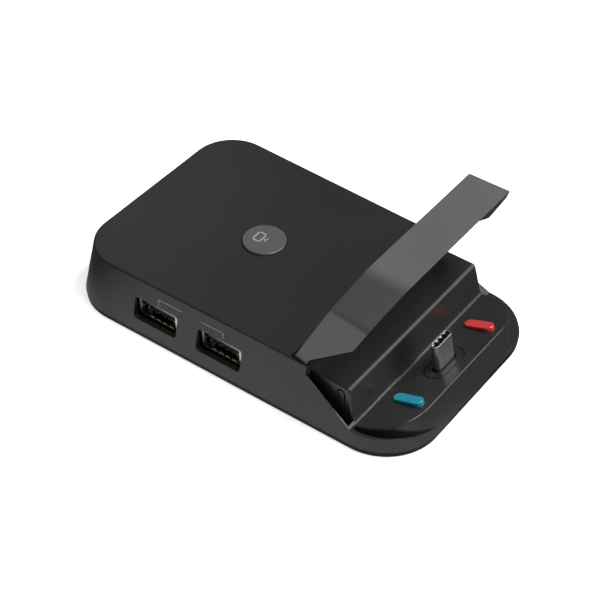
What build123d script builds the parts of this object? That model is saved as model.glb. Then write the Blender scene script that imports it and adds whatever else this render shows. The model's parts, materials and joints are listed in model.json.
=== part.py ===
"""Handheld console dock: a drafted body with a tilted tray, a plug and a folding support bracket.

Millimetres. X runs to the far side, -Y to the front (the tray), Z up from the table.
"""
from build123d import *
import math
import os

# Body
BODY_LENGTH = 118.6      # at the seam above the base cover, front to back
BODY_WIDTH = 73.9        # at the seam, halfway along
PLAN_TAPER = 0.022       # half width gained for each millimetre towards the back
FOOT_RISE = 0.3          # how far the rubber feet lift the base off the table
BODY_TOP = 18.7          # top face above the table
SIDE_DRAFT = 3.7         # inward lean of sides and back, from seam to top
NOSE_DRAFT = 8.2         # inward lean of the nose over the same height
BACK_CORNER = 16.5       # plan radius of the back corners at the seam
NOSE_CORNER = 17.0       # plan radius of the nose corners at the seam
NOSE_CORNER_LOSS = 9.0   # how much that radius shrinks up to the top
WALL = 1.8
TOP_EDGE = 0.5           # rounding of the top rim
BAND = 1.6               # height of the base cover's visible edge
BAND_UNDERCUT = 0.15     # inward lean of that edge

# Wedge and tray: a run is the distance behind the nose
FACE_LEAN = 11.5         # degrees, of the wedge's face and the plug
TRAY_TILT = 17.5         # degrees
STEP_RUN = 33.25         # front end of the top face
WEDGE_TOP = 15.9
FOOT_RUN = 18.25         # corner between wedge and tray
FOOT_Z = 4.8
WEDGE_HALF = 30.9        # half width at the wedge's top
WEDGE_FLARE = 0.108      # half width gained for each millimetre down
WEDGE_ROUND = 1.4
FOOT_ROUND = 0.9
TRAY_WALL = 1.3
TRAY_EDGE = 0.5          # rounding of the tray's rim
RECESS_Z = 15.4          # top of the left diagonal recess, and floor of the hinge pockets
RECESS_FOOT_RUN = 17.5   # front end of the left diagonal
SHOULDER_Z = 6.1         # level rim outside the tray on the left
FAR_RECESS_Z = 11.0      # the right side is cut lower
FAR_SHOULDER_Z = 2.8
SLIT_RIM = 0.6           # wall left outside the slit that takes the folded arm's lower edge
SLIT_DEPTH = 3.2         # slit floor below the diagonal
BRIDGE = 1.0             # solid left across the slit at the wedge's foot
VALLEY_WIDTH = 2.2       # groove between the left rim and the tray, which runs out round the nose
VALLEY_Z = 3.4
TONGUE_WIDTH = 2.3       # spring tongue cut into each end of the wedge
TONGUE_LENGTH = 3.3
TONGUE_SLIT = 0.4
TONGUE_BACK = 2.2        # tongue behind the wedge's front edge
TONGUE_DROP = 2.6        # straight part of the tongue below the wedge's top
TONGUE_LEAN = 7.0        # degrees

# Folding bracket, drawn as the photo shows it
PIVOT_RUN = 36.25
PIVOT_Z = 17.2
BRACKET_LEAN = 25.6      # degrees forward
BRACKET_T = 1.1
ARM_GAP = 0.2            # clear of the wedge's ends when folded
ARM_BEND = 25.8          # from the foot to the shoulder bend, along the arm
ARM_LENGTH = 38.2        # from the foot to the crossbar
ARM_TAIL = 3.2           # spare length below the foot, trimmed to the barrel
CROSSBAR_HALF = 23.8     # half length of the straight crossbar
STRIP_WIDTH = 12.4       # front to back
BEND_RADIUS = 3.0        # inside the bends
ARM_FOOT_BACK = 1.6      # back edge of the arm's foot, behind and above the pivot
ARM_FOOT_UP = 1.9
ARM_TOE_AHEAD = 1.3      # front of the foot, where the slanted lower edge starts
ARM_TOE_UP = 1.6
ARM_HEEL_AHEAD = 18.2    # front end of that slanted edge
ARM_HEEL_UP = 16.7
FOLD_ANGLE = 66.0        # degrees from the photo's pose down over the tray
BARREL_RADIUS = 1.5
BARREL_INNER_X = 23.9
PIN_RADIUS = 0.75
PIN_GAP = 0.05
PIN_INNER_X = 17.5
POCKET_BACK = 2.85       # behind the pivot
POCKET_GAP = 0.3
HINGE_BLOCK_X = 16.0     # inner side of the solid block that holds the pin
HINGE_BLOCK_FLOOR = 13.4

# Button: a share is part of the body's length, behind its middle
BUTTON_SHARE = 0.1142
BUTTON_RADIUS = 6.45
BUTTON_GAP = 0.2
BUTTON_PROUD = 0.6
BUTTON_FLANGE = 0.9      # flange width and thickness under the top
BUTTON_STEM = 2.0        # stem radius
BUTTON_LIFT = 0.1        # flange below the inside of the top
BUTTON_TRAVEL = 0.5
BUTTON_ROUND = 0.4
KEY_SIZE = 6.0
KEY_HEIGHT = 3.5
KEY_PLUNGER_RADIUS = 1.7
KEY_PLUNGER = 1.5

# Board and ports
BOARD_Z = 5.2            # underside
BOARD_T = 1.2
BOARD_INSET = 6.4        # ahead of the body's back end
BOARD_CLEAR = 9.4        # behind the front end of the top face
BOARD_HALF = 30.5
BOARD_CORNER = 11.0
PORT_RECESS = 1.4        # port mouths behind the outer wall
DATA_REAR_SHARE = 0.2078
DATA_FRONT_SHARE = 0.0189
DATA_WIDTH = 13.15
DATA_HEIGHT = 5.75
DATA_DEPTH = 14.0
DATA_SHEET = 0.35
DATA_LIP = 0.4           # flare round the mouth, and its depth
DATA_CORNER = 0.6
DATA_TONGUE_WIDTH = 11.1
DATA_TONGUE_T = 1.85
DATA_TONGUE_SETBACK = 1.2
DATA_TONGUE_RAISE = 0.95
CONTACT_COUNT = 4
CONTACT_PITCH = 2.3
CONTACT_WIDTH = 1.2
CONTACT_T = 0.2
PORT_BLOCK = 3.5         # plastic at the back of each port
DATA_CUT_GAP = 0.2       # round the flare in the side wall
DATA_CUT_WIDEN = 0.5     # more at each end of the cut-out
VIDEO_X = 9.0
VIDEO_WIDTH = 15.0
VIDEO_HEIGHT = 5.6
VIDEO_CHAMFER = 1.5
VIDEO_DEPTH = 11.5
VIDEO_TONGUE_WIDTH = 11.2
VIDEO_TONGUE_T = 1.2
POWER_X = -11.0
POWER_WIDTH = 8.94
POWER_HEIGHT = 3.26
POWER_DEPTH = 7.4
POWER_TONGUE_WIDTH = 6.7
POWER_TONGUE_T = 0.7
PORT_SHEET = 0.3
BACK_CUT_GAP = 0.4       # round the ports in the back wall

# Console plug and tray pads, placed on the tray
PLUG_V = 8.2             # plug centre ahead of the wedge's foot, along the tray
PLUG_WIDTH = 8.34
PLUG_THICK = 2.56
PLUG_SHEET = 0.3
PLUG_RISE = 8.4
PLUG_SINK = 2.6          # the plug's board below the tray's surface, along the plug
PLUG_CORE_BELOW = 4.6    # the insulator's top below the shell's mouth
SEAT_LENGTH = 14.4
SEAT_WIDTH = 6.8
SEAT_GAP = 0.25
SEAT_SLOT_GAP = 0.5      # round the plug, which floats in its seat
SEAT_FLANGE = 1.2
PLUG_BOARD_LENGTH = 19.0
PLUG_BOARD_WIDTH = 9.6
PLUG_BOARD_T = 0.8
PAD_U = 17.8
PAD_V = 8.5
PAD_LENGTH = 9.6
PAD_WIDTH = 3.4
PAD_RISE = 0.95
PAD_SUNK = 0.55
PAD_TILT = 4.5           # degrees, against the tray: the front end stands higher
PAD_ROUND = 0.35
RIBBON_WIDTH = 8.0
RIBBON_T = 0.25

# Base, fixings and chips
LIP_HEIGHT = 1.8
LIP_T = 1.2
LIP_GAP = 0.1
POST_RADIUS = 2.7
POST_X = 26.0
POST_BACK_SHARE = 0.3655
POST_FRONT_SHARE = -0.1151
POST_HOLE_GAP = 0.4      # board holes round the posts
SCREW_RADIUS = 1.0
SCREW_GAP = 0.03
SCREW_HEAD_RADIUS = 1.9
SCREW_HEAD = 0.8
SCREW_SLOT = 0.45
SCREW_LENGTH = 9.0
STANDOFF_RADIUS = 2.0
STANDOFF_X = 17.0
STANDOFF_BACK_SHARE = 0.2812
STANDOFF_FRONT_SHARE = -0.0645
FOOT_RADIUS = 4.5
FOOT_SUNK = 0.6
FOOT_X = 24.0
FOOT_BACK_INSET = 8.9
FOOT_FRONT_RUN = 14.6
FOOT_ROUND_EDGE = 0.2
CHIP_T = 0.95
HUB_SIZE = 7.0
HUB_X = 10.0
HUB_SHARE = 0.222
VIDEO_CHIP_SIZE = 8.0
VIDEO_CHIP_X = 13.0
VIDEO_CHIP_GAP = 1.45    # ahead of the video port
COIL_SIZE = 6.2
COIL_T = 3.0
COIL_X = -9.0
COIL_SHARE = 0.3233
COIL_ROUND = 1.0

# Places that follow from the sizes above
HOUSING_BOTTOM = FOOT_RISE + BAND
ROOF = BODY_TOP - WALL
SIN = math.sin(math.radians(TRAY_TILT))
COS = math.cos(math.radians(TRAY_TILT))
TAN = SIN / COS
FACE_SIN = math.sin(math.radians(FACE_LEAN))
FACE_COS = math.cos(math.radians(FACE_LEAN))
FACE_TAN = FACE_SIN / FACE_COS
NOSE_Y = -BODY_LENGTH / 2
BACK_Y = BODY_LENGTH / 2
STEP_Y = NOSE_Y + STEP_RUN
FOOT_Y = NOSE_Y + FOOT_RUN
WEDGE_FRONT_Y = FOOT_Y + (WEDGE_TOP - FOOT_Z) * FACE_TAN
RECESS_FOOT_Y = NOSE_Y + RECESS_FOOT_RUN
PIVOT_Y = NOSE_Y + PIVOT_RUN
ARM_FOOT_Y = PIVOT_Y + ARM_FOOT_BACK
ARM_FOOT_Z = PIVOT_Z + ARM_FOOT_UP
BUTTON_Y = BUTTON_SHARE * BODY_LENGTH
BOARD_BACK_Y = BACK_Y - BOARD_INSET
BOARD_FRONT_Y = STEP_Y + BOARD_CLEAR
BOARD_TOP = BOARD_Z + BOARD_T
FAR = 200.0              # longer than anything here, for cutting blocks
TRAY = Plane(origin=(0, FOOT_Y, FOOT_Z), x_dir=(1, 0, 0), z_dir=(0, SIN, COS))
SEAT = TRAY * Pos(0, -PLUG_V, 0)
PLUG = Plane(origin=SEAT.position, x_dir=(1, 0, 0), z_dir=(0, FACE_SIN, FACE_COS))
PLUG_AXIS = Axis(PLUG.origin, PLUG.z_dir)


def rise(z):
    """Share of the way from the seam up to the top face."""
    return (z - HOUSING_BOTTOM) / (BODY_TOP - HOUSING_BOTTOM)


def nose_y(z):
    """Front of the nose at height z."""
    return NOSE_Y + NOSE_DRAFT * rise(z)


def half_width(y, z):
    """Half width of the outer wall at one place."""
    return BODY_WIDTH / 2 - SIDE_DRAFT * rise(z) + PLAN_TAPER * y


def wedge_half(z):
    """Half width of the wedge and tray at height z."""
    return WEDGE_HALF + WEDGE_FLARE * (WEDGE_TOP - z)


def body_plan(z, inset=0.0):
    """Rounded plan of the whole body at height z, moved inwards by inset."""
    back = BACK_Y - SIDE_DRAFT * rise(z) - inset
    front = nose_y(z) + inset
    rear = half_width(back, z) - inset
    nose = half_width(front, z) - inset
    plan = Polygon((-nose, front), (nose, front), (rear, back), (-rear, back), align=None)
    plan = fillet(plan.vertices().group_by(Axis.Y)[-1], BACK_CORNER - SIDE_DRAFT * rise(z) - inset)
    plan = fillet(plan.vertices().group_by(Axis.Y)[0], NOSE_CORNER - NOSE_CORNER_LOSS * rise(z) - inset)
    return Pos(0, 0, z) * plan


def wedge_plan(z, inset=0.0):
    """Plan of the wedge and tray block at height z: square at the back, rounded at the nose."""
    half = wedge_half(z) - inset
    front = nose_y(z) + inset
    plan = Polygon((-half, front), (half, front), (half, STEP_Y), (-half, STEP_Y), align=None)
    plan = fillet(plan.vertices().group_by(Axis.Y)[0], NOSE_CORNER - NOSE_CORNER_LOSS * rise(z) - inset)
    return Pos(0, 0, z) * plan


def drafted(plan, low, high, inset=0.0):
    """Solid between the same plan at two heights."""
    return loft([plan(low, inset), plan(high, inset)], ruled=True)


def side_prism(*points):
    """Prism right across the body from a profile of (y, z) points."""
    return extrude(Plane.YZ * Polygon(*points, align=None), amount=FAR, both=True)


def block(x0, x1, y0, y1, z0, z1):
    """Box between two corners."""
    return Pos((x0 + x1) / 2, (y0 + y1) / 2, (z0 + z1) / 2) * Box(x1 - x0, y1 - y0, z1 - z0)


def post(x, y, z0, z1, radius):
    """Upright cylinder between two heights."""
    return Pos(x, y, (z0 + z1) / 2) * Cylinder(radius, z1 - z0)


def across(y, z, x0, x1, radius):
    """Cylinder along X."""
    return Pos((x0 + x1) / 2, y, z) * Rot(0, 90, 0) * Cylinder(radius, x1 - x0)


def both_sides(shape):
    """The shape and its mirror image."""
    return shape + mirror(shape, Plane.YZ)


def tray_z(y):
    """Height of the tray's surface at y."""
    return FOOT_Z + (FOOT_Y - y) * TAN


def left_port(y, z):
    """Plane at a port mouth in the left wall, looking inwards."""
    return Plane(origin=(-half_width(y, z) + PORT_RECESS, y, z), x_dir=(0, 1, 0), z_dir=(1, 0, 0))


def back_port(x, z):
    """Plane at a port mouth in the back wall, looking inwards."""
    mouth = BACK_Y - SIDE_DRAFT * rise(z) - PORT_RECESS
    return Plane(origin=(x, mouth, z), x_dir=(1, 0, 0), z_dir=(0, -1, 0))


DATA_Z = BOARD_TOP + DATA_HEIGHT / 2
VIDEO_Z = BOARD_TOP + VIDEO_HEIGHT / 2
POWER_Z = BOARD_TOP + POWER_HEIGHT / 2
DATA_PORTS = {
    "rear": left_port(DATA_REAR_SHARE * BODY_LENGTH, DATA_Z),
    "front": left_port(DATA_FRONT_SHARE * BODY_LENGTH, DATA_Z),
}
VIDEO_PORT = back_port(VIDEO_X, VIDEO_Z)
VIDEO_CHIP_Y = VIDEO_PORT.origin.Y - VIDEO_DEPTH - VIDEO_CHIP_GAP - VIDEO_CHIP_SIZE / 2
POWER_PORT = back_port(POWER_X, POWER_Z)
POST_ROWS = (POST_FRONT_SHARE * BODY_LENGTH, POST_BACK_SHARE * BODY_LENGTH)
POSTS = [(x, y) for x in (-POST_X, POST_X) for y in POST_ROWS]
STANDOFF_ROWS = (STANDOFF_FRONT_SHARE * BODY_LENGTH, STANDOFF_BACK_SHARE * BODY_LENGTH)
STANDOFFS = [(x, y) for x in (-STANDOFF_X, STANDOFF_X) for y in STANDOFF_ROWS]
FEET = {
    "front_left": (-FOOT_X, NOSE_Y + FOOT_FRONT_RUN),
    "front_right": (FOOT_X, NOSE_Y + FOOT_FRONT_RUN),
    "back_left": (-FOOT_X, BACK_Y - FOOT_BACK_INSET),
    "back_right": (FOOT_X, BACK_Y - FOOT_BACK_INSET),
}


def data_outline(grow, widen=0.0):
    """Data port outline, grown outwards and then widened at both ends."""
    return RectangleRounded(DATA_WIDTH + 2 * (grow + widen), DATA_HEIGHT + 2 * grow, DATA_CORNER + grow)


def video_outline(grow):
    """Video port outline with its two slanted lower corners, grown outwards."""
    plan = Rectangle(VIDEO_WIDTH + 2 * grow, VIDEO_HEIGHT + 2 * grow)
    return chamfer(plan.vertices().group_by(Axis.Y)[0], VIDEO_CHAMFER)


def power_outline(grow):
    """Power port outline, grown outwards."""
    return SlotOverall(POWER_WIDTH + 2 * grow, POWER_HEIGHT + 2 * grow)


def wedge_profile():
    """Side view of the wedge and the tilted tray, rounded along their edges."""
    nose = -FAR
    profile = Polygon(
        (STEP_Y, HOUSING_BOTTOM),
        (STEP_Y, WEDGE_TOP),
        (WEDGE_FRONT_Y, WEDGE_TOP),
        (FOOT_Y, FOOT_Z),
        (nose, tray_z(nose)),
        (nose, HOUSING_BOTTOM),
        align=None,
    )
    corners = profile.vertices()
    profile = fillet(corners.sort_by_distance((WEDGE_FRONT_Y, WEDGE_TOP, 0))[0], WEDGE_ROUND)
    return fillet(profile.vertices().sort_by_distance((FOOT_Y, FOOT_Z, 0))[0], FOOT_ROUND)


def shoulder_prism(start_z, rim_z):
    """What stays of the side wall beside the wedge: under a diagonal, then under a level rim."""
    return side_prism(
        (STEP_Y, HOUSING_BOTTOM),
        (STEP_Y, start_z),
        (RECESS_FOOT_Y, rim_z),
        (-FAR, rim_z),
        (-FAR, HOUSING_BOTTOM),
    )


def tongue_slit():
    """Arched slit that frees the spring tongue in the wedge's right end."""
    legs = SlotOverall(2 * TONGUE_LENGTH + TONGUE_WIDTH + TONGUE_SLIT, TONGUE_WIDTH + TONGUE_SLIT)
    legs -= SlotOverall(2 * TONGUE_LENGTH + TONGUE_WIDTH - TONGUE_SLIT, TONGUE_WIDTH - TONGUE_SLIT)
    legs &= Pos(FAR / 2, 0) * Rectangle(FAR, FAR)
    low = WEDGE_TOP - TONGUE_DROP - TONGUE_LENGTH
    place = Plane.YZ * Pos(WEDGE_FRONT_Y + TONGUE_BACK, low) * Rot(0, 0, 90 - TONGUE_LEAN)
    depth = wedge_half(low) - wedge_half(WEDGE_TOP) + 2 * TONGUE_SLIT
    return Pos(wedge_half(low) - depth, 0, 0) * extrude(place * legs, amount=FAR)


def arm_width(offset):
    """Half width over the arms, where offset is the distance ahead of their back edge."""
    folded = math.radians(FOLD_ANGLE)
    folded_top = PIVOT_Z + ARM_FOOT_UP * math.cos(folded) + ARM_FOOT_BACK * math.sin(folded)
    return wedge_half(folded_top - offset) + ARM_GAP + BRACKET_T


def strip_section(half):
    """Bent strip of the bracket across its width: two arms, two shoulders and a crossbar."""
    outer = [(half, -ARM_TAIL), (half, ARM_BEND), (CROSSBAR_HALF, ARM_LENGTH)]
    run = CROSSBAR_HALF - half
    climb = ARM_LENGTH - ARM_BEND
    slant = math.hypot(run, climb)
    low_shift = BRACKET_T * (slant + run) / climb
    high_shift = BRACKET_T * (slant - climb) / run
    inner = [
        (CROSSBAR_HALF + high_shift, ARM_LENGTH - BRACKET_T),
        (half - BRACKET_T, ARM_BEND - low_shift),
        (half - BRACKET_T, -ARM_TAIL),
    ]
    left = [(-x, t) for x, t in outer]
    left_inner = [(-x, t) for x, t in inner]
    section = Polygon(*outer, *reversed(left), *reversed(left_inner), *inner, align=None)
    bends = section.vertices()
    outside = [bends.sort_by_distance((side * x, t, 0))[0] for side in (1, -1) for x, t in outer[1:]]
    section = fillet(outside, BEND_RADIUS + BRACKET_T)
    bends = section.vertices()
    inside = [bends.sort_by_distance((side * x, t, 0))[0] for side in (1, -1) for x, t in inner[:2]]
    return fillet(inside, BEND_RADIUS)


def make_bracket():
    """Folding bracket: a bent strip with slanted arm ends and two hinge barrels."""
    lean = math.radians(BRACKET_LEAN)
    across_strip = (0, -math.cos(lean), -math.sin(lean))
    back = Plane(origin=(0, ARM_FOOT_Y, ARM_FOOT_Z), x_dir=(1, 0, 0), z_dir=across_strip)
    front = Plane(origin=(0, ARM_FOOT_Y - STRIP_WIDTH, ARM_FOOT_Z), x_dir=(1, 0, 0), z_dir=across_strip)
    widen = STRIP_WIDTH * math.cos(lean)
    strip = loft([back * strip_section(arm_width(0)), front * strip_section(arm_width(widen))], ruled=True)
    trim = side_prism(
        (-FAR, PIVOT_Z + ARM_HEEL_UP),
        (PIVOT_Y - ARM_HEEL_AHEAD, PIVOT_Z + ARM_HEEL_UP),
        (PIVOT_Y - ARM_TOE_AHEAD, PIVOT_Z + ARM_TOE_UP),
        (PIVOT_Y - BARREL_RADIUS, PIVOT_Z),
        (PIVOT_Y + BARREL_RADIUS, PIVOT_Z),
        (ARM_FOOT_Y, ARM_FOOT_Z),
        (FAR, ARM_FOOT_Z),
        (FAR, -FAR),
        (-FAR, -FAR),
    )
    barrel = across(PIVOT_Y, PIVOT_Z, BARREL_INNER_X, arm_width(0), BARREL_RADIUS)
    bore = across(PIVOT_Y, PIVOT_Z, -FAR, FAR, PIN_RADIUS + PIN_GAP)
    return strip - trim + both_sides(barrel) - bore


def make_housing():
    """Upper housing: drafted shell with wedge, tray, side recesses and hinge pockets."""
    body = drafted(body_plan, HOUSING_BOTTOM, BODY_TOP)
    wedge_block = drafted(wedge_plan, HOUSING_BOTTOM, BODY_TOP)
    rear = body - side_prism((STEP_Y, -FAR), (STEP_Y, FAR), (-FAR, FAR), (-FAR, -FAR))
    rear = fillet(rear.faces().sort_by(Axis.Z)[-1].edges(), TOP_EDGE)
    left = block(-FAR, 0, -FAR, FAR, -FAR, FAR)
    right = block(0, FAR, -FAR, FAR, -FAR, FAR)
    shoulder = body & left & shoulder_prism(RECESS_Z, SHOULDER_Z)
    shoulder += body & right & shoulder_prism(FAR_RECESS_Z, FAR_SHOULDER_Z)
    slit = drafted(body_plan, HOUSING_BOTTOM, BODY_TOP, SLIT_RIM) & left & side_prism(
        (STEP_Y, FAR),
        (STEP_Y, RECESS_Z - SLIT_DEPTH),
        (FOOT_Y, SHOULDER_Z - SLIT_DEPTH),
        (FOOT_Y, FAR),
    )
    valley = loft([wedge_plan(VALLEY_Z), wedge_plan(SHOULDER_Z, -VALLEY_WIDTH)], ruled=True)
    valley &= block(-FAR, 0, -FAR, FOOT_Y - BRIDGE, -FAR, FAR)
    wedge = wedge_block & extrude(Plane.YZ * wedge_profile(), amount=FAR, both=True)
    tray = wedge.faces().filter_by(lambda face: face.normal_at().dot(TRAY.z_dir) > 0.999)[0]
    rim = tray.edges().filter_by(lambda edge: edge.center().Y < FOOT_Y - 2 * FOOT_ROUND)
    wedge = fillet(rim, TRAY_EDGE)
    housing = rear + (shoulder - wedge_block - slit - valley) + wedge

    hollow = drafted(body_plan, HOUSING_BOTTOM, ROOF, WALL)
    hollow -= side_prism((STEP_Y + WALL, -FAR), (STEP_Y + WALL, FAR), (-FAR, FAR), (-FAR, -FAR))
    under = drafted(wedge_plan, HOUSING_BOTTOM, BODY_TOP, WALL)
    under += block(-wedge_half(HOUSING_BOTTOM) + 2 * WALL, wedge_half(HOUSING_BOTTOM) - 2 * WALL,
                   STEP_Y - WALL, STEP_Y + 2 * WALL, HOUSING_BOTTOM, WEDGE_TOP)
    skin = TRAY_WALL / COS
    nose = -FAR
    under &= side_prism(
        (STEP_Y + 2 * WALL, HOUSING_BOTTOM),
        (STEP_Y + 2 * WALL, WEDGE_TOP - WALL),
        (WEDGE_FRONT_Y + skin - WALL * FACE_TAN, WEDGE_TOP - WALL),
        (FOOT_Y + skin, FOOT_Z - skin + skin * TAN),
        (nose, tray_z(nose) - skin),
        (nose, HOUSING_BOTTOM),
    )
    pocket_back = PIVOT_Y + POCKET_BACK
    keep = block(HINGE_BLOCK_X, BODY_WIDTH, STEP_Y - WALL, pocket_back + WALL, HINGE_BLOCK_FLOOR, FAR)
    housing -= hollow + under - both_sides(keep)

    for x, y in POSTS:
        housing += post(x, y, HOUSING_BOTTOM, ROOF, POST_RADIUS)
        housing -= post(x, y, HOUSING_BOTTOM, HOUSING_BOTTOM + SCREW_LENGTH, SCREW_RADIUS + SCREW_GAP)

    lean = math.radians(BRACKET_LEAN)
    toe = (ARM_FOOT_BACK + BARREL_RADIUS) * math.cos(lean) + ARM_FOOT_UP * math.sin(lean)
    pocket_x = arm_width(toe) + POCKET_GAP / 2
    pocket = block(BARREL_INNER_X - POCKET_GAP, pocket_x, STEP_Y, pocket_back, RECESS_Z, FAR)
    hole = across(PIVOT_Y, PIVOT_Z, PIN_INNER_X, BARREL_INNER_X, PIN_RADIUS)
    housing -= both_sides(pocket + hole + tongue_slit())
    housing -= block(pocket_x, FAR, STEP_Y, pocket_back, RECESS_Z, FAR)

    housing -= post(0, BUTTON_Y, ROOF - WALL, FAR, BUTTON_RADIUS + BUTTON_GAP)
    seat_hole = SlotOverall(SEAT_LENGTH + 2 * SEAT_GAP, SEAT_WIDTH + 2 * SEAT_GAP)
    housing -= extrude(SEAT * seat_hole, amount=3 * TRAY_WALL, both=True)
    housing -= pad_block(-PAD_U) + pad_block(PAD_U)
    for mouth in DATA_PORTS.values():
        cut = data_outline(DATA_LIP + DATA_CUT_GAP, DATA_CUT_WIDEN)
        housing -= extrude(mouth * cut, amount=2 * WALL, both=True)
    housing -= extrude(VIDEO_PORT * video_outline(BACK_CUT_GAP), amount=2 * WALL, both=True)
    housing -= extrude(POWER_PORT * power_outline(BACK_CUT_GAP), amount=2 * WALL, both=True)
    return housing


def make_base():
    """Base cover with its undercut edge, locating lip, standoffs, screw holes and plug support."""
    under = Pos(0, 0, -BAND) * body_plan(HOUSING_BOTTOM, BAND_UNDERCUT)
    plate = loft([under, body_plan(HOUSING_BOTTOM)], ruled=True)
    lip_top = HOUSING_BOTTOM + LIP_HEIGHT
    lip = drafted(body_plan, HOUSING_BOTTOM, lip_top, WALL + LIP_GAP)
    lip -= drafted(body_plan, HOUSING_BOTTOM, lip_top, WALL + LIP_GAP + LIP_T)
    lip -= side_prism((BOARD_FRONT_Y, -FAR), (BOARD_FRONT_Y, FAR), (-FAR, FAR), (-FAR, -FAR))
    base = plate + lip
    for x, y in STANDOFFS:
        base += post(x, y, HOUSING_BOTTOM, BOARD_Z, STANDOFF_RADIUS)
    for x, y in POSTS:
        base -= post(x, y, FOOT_RISE, HOUSING_BOTTOM, SCREW_RADIUS + 5 * SCREW_GAP)
        base -= post(x, y, FOOT_RISE, FOOT_RISE + SCREW_HEAD, SCREW_HEAD_RADIUS + 5 * SCREW_GAP)
    for x, y in FEET.values():
        base -= post(x, y, FOOT_RISE, FOOT_RISE + FOOT_SUNK, FOOT_RADIUS)
    under_board = PLUG * Pos(0, 0, -PLUG_SINK - PLUG_BOARD_T)
    support = extrude(under_board * Rectangle(PLUG_BOARD_LENGTH, PLUG_BOARD_WIDTH / 2), amount=-FAR)
    support &= block(-FAR, FAR, -FAR, FAR, FOOT_RISE + BAND / 2, FAR)
    return base + support


def make_button():
    """Round mode button with a retaining flange and a stem above the key."""
    cap_base = ROOF - BUTTON_LIFT - BUTTON_FLANGE
    key_top = BOARD_TOP + KEY_HEIGHT + KEY_PLUNGER
    cap = post(0, BUTTON_Y, cap_base, BODY_TOP + BUTTON_PROUD, BUTTON_RADIUS)
    cap = fillet(cap.edges().sort_by(Axis.Z)[-1], BUTTON_ROUND)
    cap += post(0, BUTTON_Y, cap_base, cap_base + BUTTON_FLANGE, BUTTON_RADIUS + BUTTON_FLANGE)
    return cap + post(0, BUTTON_Y, key_top + BUTTON_TRAVEL + BUTTON_LIFT, cap_base, BUTTON_STEM)


def make_key():
    """Push key on the board under the button."""
    body = post(0, BUTTON_Y, BOARD_TOP + KEY_HEIGHT, BOARD_TOP + KEY_HEIGHT + KEY_PLUNGER, KEY_PLUNGER_RADIUS)
    half = KEY_SIZE / 2
    return body + block(-half, half, BUTTON_Y - half, BUTTON_Y + half, BOARD_TOP, BOARD_TOP + KEY_HEIGHT)


def make_board():
    """Main circuit board, cut clear of the screw posts."""
    plan = Polygon(
        (-BOARD_HALF, BOARD_FRONT_Y),
        (BOARD_HALF, BOARD_FRONT_Y),
        (BOARD_HALF, BOARD_BACK_Y),
        (-BOARD_HALF, BOARD_BACK_Y),
        align=None,
    )
    plan = fillet(plan.vertices().group_by(Axis.Y)[-1], BOARD_CORNER)
    board = extrude(Pos(0, 0, BOARD_Z) * plan, amount=BOARD_T)
    for x, y in POSTS:
        board -= post(x, y, BOARD_Z, BOARD_TOP, POST_RADIUS + POST_HOLE_GAP)
    return board


def port_shell(mouth, outer, inner, depth):
    """Metal port shell, open at its mouth and closed at the back."""
    tube = extrude(mouth * (outer - inner), amount=depth)
    return tube + extrude(mouth * Pos(0, 0, depth - PORT_SHEET) * inner, amount=PORT_SHEET)


def port_tongue(mouth, inner, depth, width, thick, height, setback):
    """Insulator that fills the back of a port and carries its tongue."""
    floor = depth - PORT_SHEET
    back = extrude(mouth * Pos(0, 0, floor - PORT_BLOCK) * inner, amount=PORT_BLOCK)
    tongue = extrude(mouth * Pos(0, height, setback) * Rectangle(width, thick), amount=floor - PORT_BLOCK - setback)
    return back + tongue


def data_contacts(mouth):
    """Spring contacts on the lower face of a data port's tongue."""
    strip_y = DATA_TONGUE_RAISE - DATA_TONGUE_T / 2 - CONTACT_T / 2
    length = DATA_DEPTH - PORT_SHEET - PORT_BLOCK - 2 * DATA_TONGUE_SETBACK
    first = -CONTACT_PITCH * (CONTACT_COUNT - 1) / 2
    strips = [
        mouth * Pos(first + CONTACT_PITCH * n, strip_y, 2 * DATA_TONGUE_SETBACK) * Rectangle(CONTACT_WIDTH, CONTACT_T)
        for n in range(CONTACT_COUNT)
    ]
    return Compound(children=[extrude(strip, amount=length) for strip in strips])


def make_plug():
    """Console plug: metal shell and insulator on a small board, which also carries the floating seat."""
    foot = PLUG * Pos(0, 0, -PLUG_SINK)
    length = PLUG_RISE + PLUG_SINK
    outer = SlotOverall(PLUG_WIDTH, PLUG_THICK)
    inner = SlotOverall(PLUG_WIDTH - 2 * PLUG_SHEET, PLUG_THICK - 2 * PLUG_SHEET)
    shell = extrude(foot * (outer - inner), amount=length)
    shell = fillet(shell.edges().group_by(PLUG_AXIS)[-1], PLUG_SHEET / 3)
    core = extrude(foot * inner, amount=length - PLUG_CORE_BELOW)
    flange = SlotOverall(SEAT_LENGTH + 2 * SEAT_FLANGE, SEAT_WIDTH + 2 * SEAT_FLANGE)
    seat = extrude(SEAT * SlotOverall(SEAT_LENGTH, SEAT_WIDTH), amount=-FAR)
    seat += extrude(SEAT * Pos(0, 0, -TRAY_WALL - PLUG_SHEET) * flange, amount=-FAR)
    seat &= extrude(foot * Rectangle(FAR, FAR), amount=FAR)
    opening = SlotOverall(PLUG_WIDTH + 2 * SEAT_SLOT_GAP, PLUG_THICK + 2 * SEAT_SLOT_GAP)
    seat -= extrude(foot * opening, amount=length)
    board = extrude(foot * Rectangle(PLUG_BOARD_LENGTH, PLUG_BOARD_WIDTH), amount=-PLUG_BOARD_T)
    return {"plug_shell": shell, "plug_core": core, "plug_seat": seat, "plug_board": board}


def pad_block(u):
    """Soft pad beside the plug before its top is rounded."""
    place = TRAY * Pos(u, -PAD_V, 0) * Rot(-PAD_TILT, 0, 0) * Pos(0, 0, -PAD_SUNK) * Rot(0, 0, 90)
    return extrude(place * SlotOverall(PAD_LENGTH, PAD_WIDTH), amount=PAD_RISE + PAD_SUNK)


def make_pad(u):
    """Soft pad with a rounded top."""
    pad = pad_block(u)
    top = max(pad.faces().filter_by(GeomType.PLANE), key=lambda face: face.normal_at().Z)
    return fillet(top.edges(), PAD_ROUND)


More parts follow.
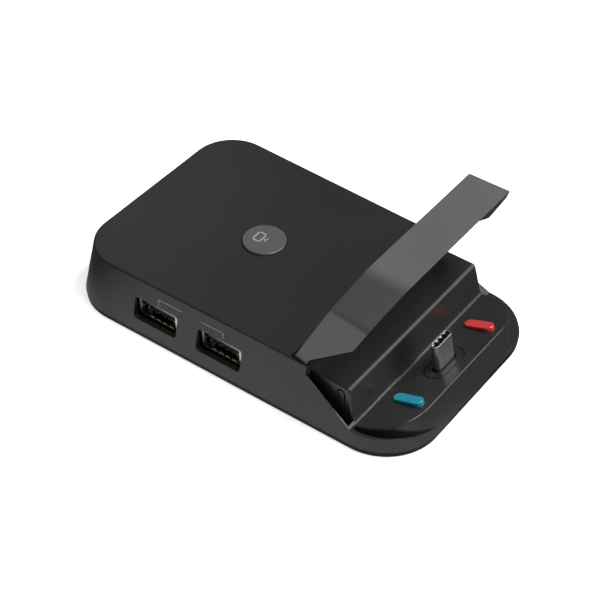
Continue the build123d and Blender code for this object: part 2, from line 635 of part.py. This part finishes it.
def make_ribbon():
    """Flat cable from the plug's board, under the wedge, to the main board."""
    low = HOUSING_BOTTOM + RIBBON_T / 2
    cap = RIBBON_T / 2
    middle = -PLUG_SINK - PLUG_BOARD_T / 2
    start = (PLUG * Pos(0, PLUG_BOARD_WIDTH / 2 + cap, middle)).position
    straight = (PLUG * Pos(0, PLUG_BOARD_WIDTH / 2 + PLUG_BOARD_T, middle)).position
    path = Polyline(
        (start.Y, start.Z),
        (straight.Y, straight.Z),
        (FOOT_Y + WALL, low),
        (BOARD_FRONT_Y - 4 * WALL, low),
        (BOARD_FRONT_Y - WALL, BOARD_Z + BOARD_T / 2),
        (BOARD_FRONT_Y - cap, BOARD_Z + BOARD_T / 2),
    )
    section = offset(path, RIBBON_T / 2, kind=Kind.INTERSECTION)
    return extrude(Plane.YZ * make_face(section), amount=RIBBON_WIDTH / 2, both=True)


def make_screw(x, y):
    """Base screw with a cross recess."""
    head = post(x, y, FOOT_RISE, FOOT_RISE + SCREW_HEAD, SCREW_HEAD_RADIUS)
    shank = post(x, y, FOOT_RISE + SCREW_HEAD, HOUSING_BOTTOM + SCREW_LENGTH - 2 * SCREW_GAP, SCREW_RADIUS)
    arm = SCREW_HEAD_RADIUS * 0.6
    half = SCREW_SLOT / 2
    cross = block(x - arm, x + arm, y - half, y + half, FOOT_RISE, FOOT_RISE + SCREW_SLOT)
    cross += block(x - half, x + half, y - arm, y + arm, FOOT_RISE, FOOT_RISE + SCREW_SLOT)
    return head + shank - cross


def make_foot(x, y):
    """Round rubber foot sunk into the base."""
    foot = post(x, y, 0, FOOT_RISE + FOOT_SUNK, FOOT_RADIUS)
    return fillet(foot.edges().sort_by(Axis.Z)[0], FOOT_ROUND_EDGE)


def chip(size, x, y, height):
    """Square package on the board."""
    half = size / 2
    return block(x - half, x + half, y - half, y + half, BOARD_TOP, BOARD_TOP + height)


coil = chip(COIL_SIZE, COIL_X, COIL_SHARE * BODY_LENGTH, COIL_T)
parts = {
    "upper_housing": make_housing(),
    "base_cover": make_base(),
    "support_bracket": make_bracket(),
    "mode_button": make_button(),
    "mode_key": make_key(),
    "main_board": make_board(),
    "flat_cable": make_ribbon(),
    "pad_left": make_pad(-PAD_U),
    "pad_right": make_pad(PAD_U),
    "hub_chip": chip(HUB_SIZE, HUB_X, HUB_SHARE * BODY_LENGTH, CHIP_T),
    "video_chip": chip(VIDEO_CHIP_SIZE, VIDEO_CHIP_X, VIDEO_CHIP_Y, CHIP_T),
    "power_coil": fillet(coil.edges().filter_by(Axis.Z), COIL_ROUND),
}
parts |= make_plug()
pin = across(PIVOT_Y, PIVOT_Z, PIN_INNER_X, arm_width(0), PIN_RADIUS)
parts["hinge_pin_right"] = pin
parts["hinge_pin_left"] = mirror(pin, Plane.YZ)
data_inner = data_outline(-DATA_SHEET)
for name, mouth in DATA_PORTS.items():
    shell = port_shell(mouth, data_outline(0), data_inner, DATA_DEPTH)
    lip = extrude(mouth * (data_outline(DATA_LIP) - data_inner), amount=DATA_LIP)
    parts[f"data_port_{name}_shell"] = shell + lip
    parts[f"data_port_{name}_tongue"] = port_tongue(
        mouth, data_inner, DATA_DEPTH, DATA_TONGUE_WIDTH, DATA_TONGUE_T, DATA_TONGUE_RAISE, DATA_TONGUE_SETBACK
    )
    parts[f"data_port_{name}_contacts"] = data_contacts(mouth)
video_inner = video_outline(-PORT_SHEET)
parts["video_port_shell"] = port_shell(VIDEO_PORT, video_outline(0), video_inner, VIDEO_DEPTH)
parts["video_port_tongue"] = port_tongue(
    VIDEO_PORT, video_inner, VIDEO_DEPTH, VIDEO_TONGUE_WIDTH, VIDEO_TONGUE_T, 0, DATA_TONGUE_SETBACK
)
power_inner = power_outline(-PORT_SHEET)
parts["power_port_shell"] = port_shell(POWER_PORT, power_outline(0), power_inner, POWER_DEPTH)
parts["power_port_tongue"] = port_tongue(
    POWER_PORT, power_inner, POWER_DEPTH, POWER_TONGUE_WIDTH, POWER_TONGUE_T, 0, DATA_TONGUE_SETBACK
)
for corner, (x, y) in FEET.items():
    parts[f"rubber_foot_{corner}"] = make_foot(x, y)
for corner, (x, y) in zip(("front_left", "back_left", "front_right", "back_right"), POSTS):
    parts[f"base_screw_{corner}"] = make_screw(x, y)

os.makedirs("parts", exist_ok=True)
for name, shape in parts.items():
    export_step(shape, f"parts/{name}.step")
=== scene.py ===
import json
import math

import bmesh
import bpy
from mathutils import Matrix, Vector


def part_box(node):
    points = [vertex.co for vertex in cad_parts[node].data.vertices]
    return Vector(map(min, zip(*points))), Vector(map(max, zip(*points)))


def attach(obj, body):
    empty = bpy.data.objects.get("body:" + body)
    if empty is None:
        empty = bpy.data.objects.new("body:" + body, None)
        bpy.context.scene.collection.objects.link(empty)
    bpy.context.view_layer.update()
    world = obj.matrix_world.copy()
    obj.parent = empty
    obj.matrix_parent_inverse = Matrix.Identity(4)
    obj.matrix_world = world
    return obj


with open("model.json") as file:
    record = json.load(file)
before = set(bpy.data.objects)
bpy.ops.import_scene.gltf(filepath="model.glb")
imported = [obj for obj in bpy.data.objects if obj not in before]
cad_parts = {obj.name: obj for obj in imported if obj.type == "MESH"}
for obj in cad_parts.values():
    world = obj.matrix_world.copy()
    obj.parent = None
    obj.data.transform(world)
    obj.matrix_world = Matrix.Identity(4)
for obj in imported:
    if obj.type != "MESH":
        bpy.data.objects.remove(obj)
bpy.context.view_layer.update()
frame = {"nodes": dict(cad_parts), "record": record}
nodes = frame["nodes"]
scene = bpy.context.scene
scene.view_settings.view_transform = "Standard"
MM = 0.001

# Noise scales of the surfaces, in cycles per metre
MOTTLE, GLOSS, GRAIN = 45, 260, 5200
PAD_MOTTLE, PAD_GLOSS, PAD_GRAIN = 240, 900, 2600
STREAK = 900
PLASTIC_GLOSS_VARY, METAL_GLOSS_VARY = 0.04, 0.06
PLASTIC_BUMP, METAL_BUMP = 0.00002, 0.00001
STREAK_DARK = 0.86
BEVEL_SAMPLES = 6
DRAWN_UP = (1, 1, 6)


def shader(name):
    """New node material: the material, its node tree and its Principled shader."""
    mat = bpy.data.materials.new(name)
    mat.use_nodes = True
    tree = mat.node_tree
    return mat, tree, tree.nodes["Principled BSDF"]


def noise(tree, scale, detail=3.0, stretch=(1, 1, 1)):
    """Noise texture in object space, with scale in cycles per metre."""
    coord = tree.nodes.new("ShaderNodeTexCoord")
    mapping = tree.nodes.new("ShaderNodeMapping")
    mapping.inputs["Scale"].default_value = stretch
    tex = tree.nodes.new("ShaderNodeTexNoise")
    tex.inputs["Scale"].default_value = scale
    tex.inputs["Detail"].default_value = detail
    tree.links.new(coord.outputs["Object"], mapping.inputs["Vector"])
    tree.links.new(mapping.outputs["Vector"], tex.inputs["Vector"])
    return tex.outputs["Fac"]


def ramp(tree, fac, low, high, start=0.3, end=0.7):
    """Colour ramp between two colours."""
    node = tree.nodes.new("ShaderNodeValToRGB")
    node.color_ramp.elements[0].position = start
    node.color_ramp.elements[1].position = end
    node.color_ramp.elements[0].color = (*low, 1)
    node.color_ramp.elements[1].color = (*high, 1)
    tree.links.new(fac, node.inputs["Fac"])
    return node.outputs["Color"]


def spread(tree, fac, low, high):
    """Map a 0 to 1 factor to a range."""
    node = tree.nodes.new("ShaderNodeMapRange")
    node.inputs["To Min"].default_value = low
    node.inputs["To Max"].default_value = high
    tree.links.new(fac, node.inputs["Value"])
    return node.outputs["Result"]


def bump(tree, fac, strength, distance, edge=0.0):
    """Bump from a height factor, over edges softened by a small radius."""
    node = tree.nodes.new("ShaderNodeBump")
    node.inputs["Strength"].default_value = strength
    node.inputs["Distance"].default_value = distance
    tree.links.new(fac, node.inputs["Height"])
    if edge:
        soft = tree.nodes.new("ShaderNodeBevel")
        soft.samples = BEVEL_SAMPLES
        soft.inputs["Radius"].default_value = edge
        tree.links.new(soft.outputs["Normal"], node.inputs["Normal"])
    return node.outputs["Normal"]


def moulded(name, colour, rough, grain=GRAIN, strength=0.2, vary=0.06, specular=0.5, edge=0.0):
    """Moulded plastic: faint mottling, uneven gloss and a fine grain."""
    mat, tree, bsdf = shader(name)
    low = [c * (1 - vary) for c in colour]
    high = [c * (1 + vary) for c in colour]
    gloss = spread(tree, noise(tree, GLOSS, 3), rough - PLASTIC_GLOSS_VARY, rough + PLASTIC_GLOSS_VARY)
    tree.links.new(ramp(tree, noise(tree, MOTTLE, 4), low, high), bsdf.inputs["Base Color"])
    tree.links.new(gloss, bsdf.inputs["Roughness"])
    tree.links.new(bump(tree, noise(tree, grain, 2), strength, PLASTIC_BUMP, edge), bsdf.inputs["Normal"])
    bsdf.inputs["Specular IOR Level"].default_value = specular
    return mat


def metal(name, colour, rough, stretch=(1, 1, 1), edge=0.0):
    """Bare metal with drawn streaks along one direction."""
    mat, tree, bsdf = shader(name)
    bsdf.inputs["Metallic"].default_value = 1.0
    streak = noise(tree, STREAK, 4, stretch)
    low = [c * STREAK_DARK for c in colour]
    gloss = spread(tree, streak, rough - METAL_GLOSS_VARY, rough + METAL_GLOSS_VARY)
    tree.links.new(ramp(tree, streak, low, colour), bsdf.inputs["Base Color"])
    tree.links.new(gloss, bsdf.inputs["Roughness"])
    tree.links.new(bump(tree, streak, 0.1, METAL_BUMP, edge), bsdf.inputs["Normal"])
    return mat


def soft_pad(name, low, high):
    """Glossy coloured rubber."""
    mat, tree, bsdf = shader(name)
    tree.links.new(ramp(tree, noise(tree, PAD_MOTTLE, 3), low, high), bsdf.inputs["Base Color"])
    tree.links.new(spread(tree, noise(tree, PAD_GLOSS, 2), 0.2, 0.3), bsdf.inputs["Roughness"])
    tree.links.new(bump(tree, noise(tree, PAD_GRAIN, 2), 0.1, PLASTIC_BUMP), bsdf.inputs["Normal"])
    bsdf.inputs["Coat Weight"].default_value = 0.9
    bsdf.inputs["Coat Roughness"].default_value = 0.24
    return mat


def dress(node, mat):
    """Give a CAD node one material."""
    obj = nodes[node]
    obj.data.materials.clear()
    obj.data.materials.append(mat)


# Materials of the CAD nodes, by the record's slots
steel_mat = metal("connector_steel", (0.5, 0.5, 0.505), 0.24, DRAWN_UP, edge=0.1 * MM)
plug_mat = metal("plug_steel", (0.55, 0.55, 0.555), 0.42, DRAWN_UP, edge=0.12 * MM)
slot_mats = {
    "housing_plastic": moulded("housing_plastic", (0.0215, 0.0215, 0.022), 0.31, edge=0.15 * MM),
    # Base cover: its very dark colour and weak specular are partly its own darker plastic and partly painted
    # shade, standing in for the shaded undercut band along the bottom edge
    "base_plastic": moulded(
        "base_plastic", (0.006, 0.006, 0.0062), 0.6, specular=0.12, edge=0.15 * MM
    ),
    "bracket_metal": moulded(
        "bracket_coating", (0.13, 0.128, 0.124), 0.34, 7000, strength=0.12, specular=0.35, edge=0.2 * MM
    ),
    "button_plastic": moulded("button_plastic", (0.108, 0.108, 0.109), 0.24, edge=0.7 * MM),
    "seat_plastic": moulded("seat_plastic", (0.019, 0.019, 0.0193), 0.34, grain=3000, edge=0.15 * MM),
    "inner_plastic": moulded("inner_plastic", (0.008, 0.008, 0.0082), 0.4),
    "board": moulded("board_laminate", (0.018, 0.1, 0.045), 0.35, vary=0.2),
    "cable": moulded("cable_film", (0.4, 0.22, 0.07), 0.3, vary=0.1),
    "pad_blue": soft_pad("pad_blue", (0.005, 0.28, 0.41), (0.01, 0.36, 0.51)),
    "pad_red": soft_pad("pad_red", (0.72, 0.035, 0.037), (0.85, 0.05, 0.05)),
    "connector_steel": steel_mat,
    "contact_brass": metal("contact_brass", (0.86, 0.62, 0.26), 0.25),
    "fixing_steel": metal("fixing_steel", (0.5, 0.5, 0.51), 0.32),
    "foot_rubber": moulded("foot_rubber", (0.016, 0.016, 0.016), 0.75, grain=2500, strength=0.5),
}
for part in frame["record"]["subparts"]:
    dress(part["node"], slot_mats[part["material_slot"]])
dress("plug_shell", plug_mat)


def piece(name, points, faces, mat, body, slot):
    """New mesh piece, from points in millimetres, that rides on a body."""
    mesh = bpy.data.meshes.new(name)
    mesh.from_pydata([tuple(c * MM for c in p) for p in points], [], faces)
    mesh.update()
    obj = bpy.data.objects.new(name, mesh)
    scene.collection.objects.link(obj)
    mesh.materials.append(mat)
    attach(obj, body)


def strips(lines, across, thick):
    """Bars of one width that follow lines of points; across is the width vector."""
    points, faces = [], []
    wide = Vector(across)
    for line in lines:
        line = [Vector(p) for p in line]
        first = len(points)
        for k, p in enumerate(line):
            run = line[min(k + 1, len(line) - 1)] - line[max(k - 1, 0)]
            lift = run.cross(wide).normalized() * thick / 2
            points += [p - wide / 2 - lift, p + wide / 2 - lift, p + wide / 2 + lift, p - wide / 2 + lift]
        for k in range(len(line) - 1):
            a, b = first + 4 * k, first + 4 * k + 4
            faces += [(a + i, a + (i + 1) % 4, b + (i + 1) % 4, b + i) for i in range(4)]
        last = len(points) - 4
        faces += [(first + 3, first + 2, first + 1, first), (last, last + 1, last + 2, last + 3)]
    return points, faces


def bars(lines, width, normal):
    """Flat printed bars along straight lines of points on a surface."""
    points, faces = [], []
    for start, end in lines:
        run = Vector(end) - Vector(start)
        reach = run.normalized() * width / 2
        across = run.cross(Vector(normal)).normalized() * width
        more, sides = strips([[Vector(start) - reach, Vector(end) + reach]], across, PRINT_T)
        faces += [tuple(i + len(points) for i in face) for face in sides]
        points += more
    return points, faces


PRINT_T = 0.06
print_mat = moulded("mark_print", (0.5, 0.5, 0.5), 0.5, vary=0.12)
gold_mat = metal("spring_gold", (0.42, 0.33, 0.17), 0.22)

# Monitor sign on the button: screen, stand and foot
SIGN_HALF, SIGN_FOOT_HALF = 1.85, 0.6
SIGN_LOW, SIGN_HIGH, SIGN_FOOT = 0.55, 2.95, -0.75
SIGN_LINE = 0.34
button_low, button_high = (Vector(v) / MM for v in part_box("mode_button"))
sign_y = (button_low.y + button_high.y) / 2
sign_z = button_high.z
sign_lines = []
for a, b in (
    ((-SIGN_HALF, SIGN_LOW), (SIGN_HALF, SIGN_LOW)),
    ((SIGN_HALF, SIGN_LOW), (SIGN_HALF, SIGN_HIGH)),
    ((SIGN_HALF, SIGN_HIGH), (-SIGN_HALF, SIGN_HIGH)),
    ((-SIGN_HALF, SIGN_HIGH), (-SIGN_HALF, SIGN_LOW)),
    ((0, SIGN_LOW), (0, SIGN_FOOT)),
    ((-SIGN_FOOT_HALF, SIGN_FOOT), (SIGN_FOOT_HALF, SIGN_FOOT)),
):
    sign_lines.append(((a[0], sign_y + a[1], sign_z), (b[0], sign_y + b[1], sign_z)))
piece("button_sign", *bars(sign_lines, SIGN_LINE, (0, 0, 1)), print_mat, "button", "button_plastic")

# Corner marks over the data ports, on the drafted left wall
WALL_SEAM_X, WALL_SEAM_Z, WALL_SLOPE, WALL_TAPER = 36.95, 1.9, 3.7 / 16.8, 0.022
MARK_LOW, MARK_HIGH = 13.5, 15.35
MARK_LINE = 0.2
MARK_ENDS = ((24.0, 15.9), (1.35, 9.0))


def on_wall(y, z):
    """Point of the left wall."""
    return (-(WALL_SEAM_X - WALL_SLOPE * (z - WALL_SEAM_Z) + WALL_TAPER * y), y, z)


marks = []
for corner_y, end_y in MARK_ENDS:
    marks.append((on_wall(corner_y, MARK_LOW), on_wall(corner_y, MARK_HIGH)))
    marks.append((on_wall(corner_y, MARK_HIGH), on_wall(end_y, MARK_HIGH)))
wall_normal = (-1, 0, WALL_SLOPE)
piece("port_marks", *bars(marks, MARK_LINE, wall_normal), print_mat, "dock", "housing_plastic")

# Spring tabs and contact springs inside the data ports: depth from the mouth, then height
PORT_INNER = 2.525
TAB_SIDE, TAB_WIDTH, TAB_T = 4.7, 1.8, 0.2
TAB_LINE = ((6.2, 0.0), (4.6, 0.3), (3.0, 1.0), (2.4, 1.2), (2.0, 1.1), (1.85, 0.2))
SPRING_PITCH, SPRING_WIDTH, SPRING_T = 2.3, 1.4, 0.15
SPRING_LINE = ((3.9, -0.2), (2.4, -0.8), (1.6, -1.3), (1.25, -1.3), (1.0, -0.95), (0.95, -0.1))
FOUR = (-1.5, -0.5, 0.5, 1.5)
for port in ("rear", "front"):
    low, high = (Vector(v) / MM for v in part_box(f"data_port_{port}_shell"))
    mouth, mid_y, mid_z = low.x, (low.y + high.y) / 2, (low.z + high.z) / 2
    tabs = [
        [
            (mouth + depth, mid_y + side * TAB_SIDE, mid_z + level * PORT_INNER - level * lift)
            for depth, lift in TAB_LINE
        ]
        for side in (-1, 1)
        for level in (-1, 1)
    ]
    tab_mesh = strips(tabs, (0, TAB_WIDTH, 0), TAB_T)
    piece(f"data_port_{port}_tabs", *tab_mesh, steel_mat, "dock", "connector_steel")
    springs = [
        [(mouth + depth, mid_y + n * SPRING_PITCH, mid_z + drop) for depth, drop in SPRING_LINE]
        for n in FOUR
    ]
    spring_mesh = strips(springs, (0, SPRING_WIDTH, 0), SPRING_T)
    piece(f"data_port_{port}_springs", *spring_mesh, gold_mat, "dock", "contact_brass")

# Spring pads inside the console plug's mouth: depth along the plug, then reach from its middle
PLUG_MOUTH = Vector((0, -47.195, 15.497))
PLUG_LEAN = math.radians(11.5)
PLUG_UP = Vector((0, math.sin(PLUG_LEAN), math.cos(PLUG_LEAN)))
PLUG_BACK = PLUG_UP.cross(Vector((1, 0, 0)))
PAD_PITCH, PAD_WIDTH, PAD_T = 1.9, 0.75, 0.1
PAD_LINE = ((0.35, 0.95), (0.7, 0.72), (1.2, 0.66), (2.4, 0.9), (3.6, 0.95))
pads = [
    [
        PLUG_MOUTH + Vector((n * PAD_PITCH, 0, 0)) - PLUG_UP * depth + PLUG_BACK * side * reach
        for depth, reach in PAD_LINE
    ]
    for side in (-1, 1)
    for n in FOUR
]
piece("plug_springs", *strips(pads, (PAD_WIDTH, 0, 0), PAD_T), steel_mat, "dock", "connector_steel")

# Light levels: lamps in watts, the rest as emission strength
LEVELS = {
    "horizon": 0.05,
    "zenith": 0.2,
    "floor_white": 0.72,
    "floor_near": 1.0,
    "floor_far": 0.1,
    "key": 7.1,
    "right_arc": 2.9,
    "back_right": 0.05,
}

# Floor: pale to the camera, and in reflections a white patch that dims away from the part
FLOOR_HALF = 3.0
PATCH_SHIFT = (0.072, 0.02, 0)
PATCH_NEAR, PATCH_FAR = 0.06, 0.1
floor_mesh = bpy.data.meshes.new("floor")
shape = bmesh.new()
bmesh.ops.create_grid(shape, x_segments=2, y_segments=2, size=FLOOR_HALF)
shape.to_mesh(floor_mesh)
shape.free()
floor = bpy.data.objects.new("floor", floor_mesh)
scene.collection.objects.link(floor)
floor_mat, tree, floor_bsdf = shader("floor_white")
floor_bsdf.inputs["Roughness"].default_value = 0.9
floor_bsdf.inputs["Specular IOR Level"].default_value = 0.1
floor_colour = ramp(tree, noise(tree, 3, 2), (0.86, 0.86, 0.86), (0.88, 0.88, 0.88))
tree.links.new(floor_colour, floor_bsdf.inputs["Base Color"])
path = tree.nodes.new("ShaderNodeLightPath")
glow = tree.nodes.new("ShaderNodeEmission")
tree.links.new(spread(tree, path.outputs["Is Camera Ray"], 0, LEVELS["floor_white"]), glow.inputs["Strength"])
lit = tree.nodes.new("ShaderNodeAddShader")
tree.links.new(floor_bsdf.outputs[0], lit.inputs[0])
tree.links.new(glow.outputs[0], lit.inputs[1])
coord = tree.nodes.new("ShaderNodeTexCoord")
shift = tree.nodes.new("ShaderNodeMapping")
shift.inputs["Location"].default_value = PATCH_SHIFT
away = tree.nodes.new("ShaderNodeVectorMath")
away.operation = "LENGTH"
tree.links.new(coord.outputs["Object"], shift.inputs["Vector"])
tree.links.new(shift.outputs["Vector"], away.inputs[0])
dim = tree.nodes.new("ShaderNodeMapRange")
dim.interpolation_type = "SMOOTHSTEP"
dim.inputs["From Min"].default_value = PATCH_NEAR
dim.inputs["From Max"].default_value = PATCH_FAR
dim.inputs["To Min"].default_value = LEVELS["floor_near"]
dim.inputs["To Max"].default_value = LEVELS["floor_far"]
tree.links.new(away.outputs["Value"], dim.inputs["Value"])
mirror_white = tree.nodes.new("ShaderNodeEmission")
tree.links.new(dim.outputs["Result"], mirror_white.inputs["Strength"])
mirrored = tree.nodes.new("ShaderNodeMath")
mirrored.operation = "MAXIMUM"
tree.links.new(path.outputs["Is Glossy Ray"], mirrored.inputs[0])
tree.links.new(path.outputs["Is Transmission Ray"], mirrored.inputs[1])
total = tree.nodes.new("ShaderNodeMixShader")
tree.links.new(mirrored.outputs[0], total.inputs["Fac"])
tree.links.new(lit.outputs[0], total.inputs[1])
tree.links.new(mirror_white.outputs[0], total.inputs[2])
tree.links.new(total.outputs[0], tree.nodes["Material Output"].inputs["Surface"])
floor.data.materials.append(floor_mat)

# Surroundings: white to the camera, otherwise a dim sky that brightens upward
world = bpy.data.worlds.new("studio")
scene.world = world
world.use_nodes = True
sky = world.node_tree
back = sky.nodes["Background"]
back.inputs["Color"].default_value = (1, 1, 1, 1)
ray = sky.nodes.new("ShaderNodeLightPath")
toward_sky = sky.nodes.new("ShaderNodeTexCoord")
height = sky.nodes.new("ShaderNodeSeparateXYZ")
sky.links.new(toward_sky.outputs["Generated"], height.inputs["Vector"])
level = sky.nodes.new("ShaderNodeMix")
level.inputs["B"].default_value = 1.0
sky.links.new(ray.outputs["Is Camera Ray"], level.inputs["Factor"])
sky.links.new(spread(sky, height.outputs["Z"], LEVELS["horizon"], LEVELS["zenith"]), level.inputs["A"])
sky.links.new(level.outputs["Result"], back.inputs["Strength"])


def placed(x_axis, y_axis, z_axis, at):
    """Matrix from three axes and a place."""
    return Matrix((
        (x_axis.x, y_axis.x, z_axis.x, at.x),
        (x_axis.y, y_axis.y, z_axis.y, at.y),
        (x_axis.z, y_axis.z, z_axis.z, at.z),
        (0, 0, 0, 1),
    ))


def softbox(name, direction, distance, size, along):
    """Area light facing the object from one direction, its height along a vector."""
    lamp = bpy.data.lights.new(name, "AREA")
    lamp.shape = "RECTANGLE"
    lamp.size, lamp.size_y = size
    lamp.energy = LEVELS[name]
    obj = bpy.data.objects.new(name, lamp)
    scene.collection.objects.link(obj)
    aim = Vector(direction).normalized()
    side = Vector(along).cross(aim).normalized()
    obj.matrix_world = placed(side, aim.cross(side), aim, aim * distance)


softbox("key", (0.2, -0.36, 0.91), 1.0, (0.5, 0.25), (0, 1, 0))
softbox("back_right", (0.3, 0.4, 0.36), 0.62, (0.2, 0.2), (0, 1, 0))
softbox("right_arc", (0.58, -0.58, 0.56), 0.9, (0.2, 1.0), (0, 1, 1.05))

# Camera at the photograph's viewing angle
AZIMUTH, ELEVATION, ROLL = math.radians(-53.318), math.radians(43.586), math.radians(0.279)
HALF_PICTURE, FOCAL = 300, 1536.9
CAMERA_PLACE = Vector((-0.2598, -0.192855, 0.3109))
level_reach = math.cos(ELEVATION)
toward = Vector((
    math.sin(AZIMUTH) * level_reach,
    -math.cos(AZIMUTH) * level_reach,
    math.sin(ELEVATION),
))
flat_right = Vector((math.cos(AZIMUTH), math.sin(AZIMUTH), 0))
flat_up = toward.cross(flat_right)
right = math.cos(ROLL) * flat_right + math.sin(ROLL) * flat_up
up = math.cos(ROLL) * flat_up - math.sin(ROLL) * flat_right
camera = bpy.data.cameras.new("camera")
camera.angle = 2 * math.atan(HALF_PICTURE / FOCAL)
camera_obj = bpy.data.objects.new("camera", camera)
scene.collection.objects.link(camera_obj)
camera_obj.matrix_world = placed(right, up, toward, CAMERA_PLACE)
scene.camera = camera_obj
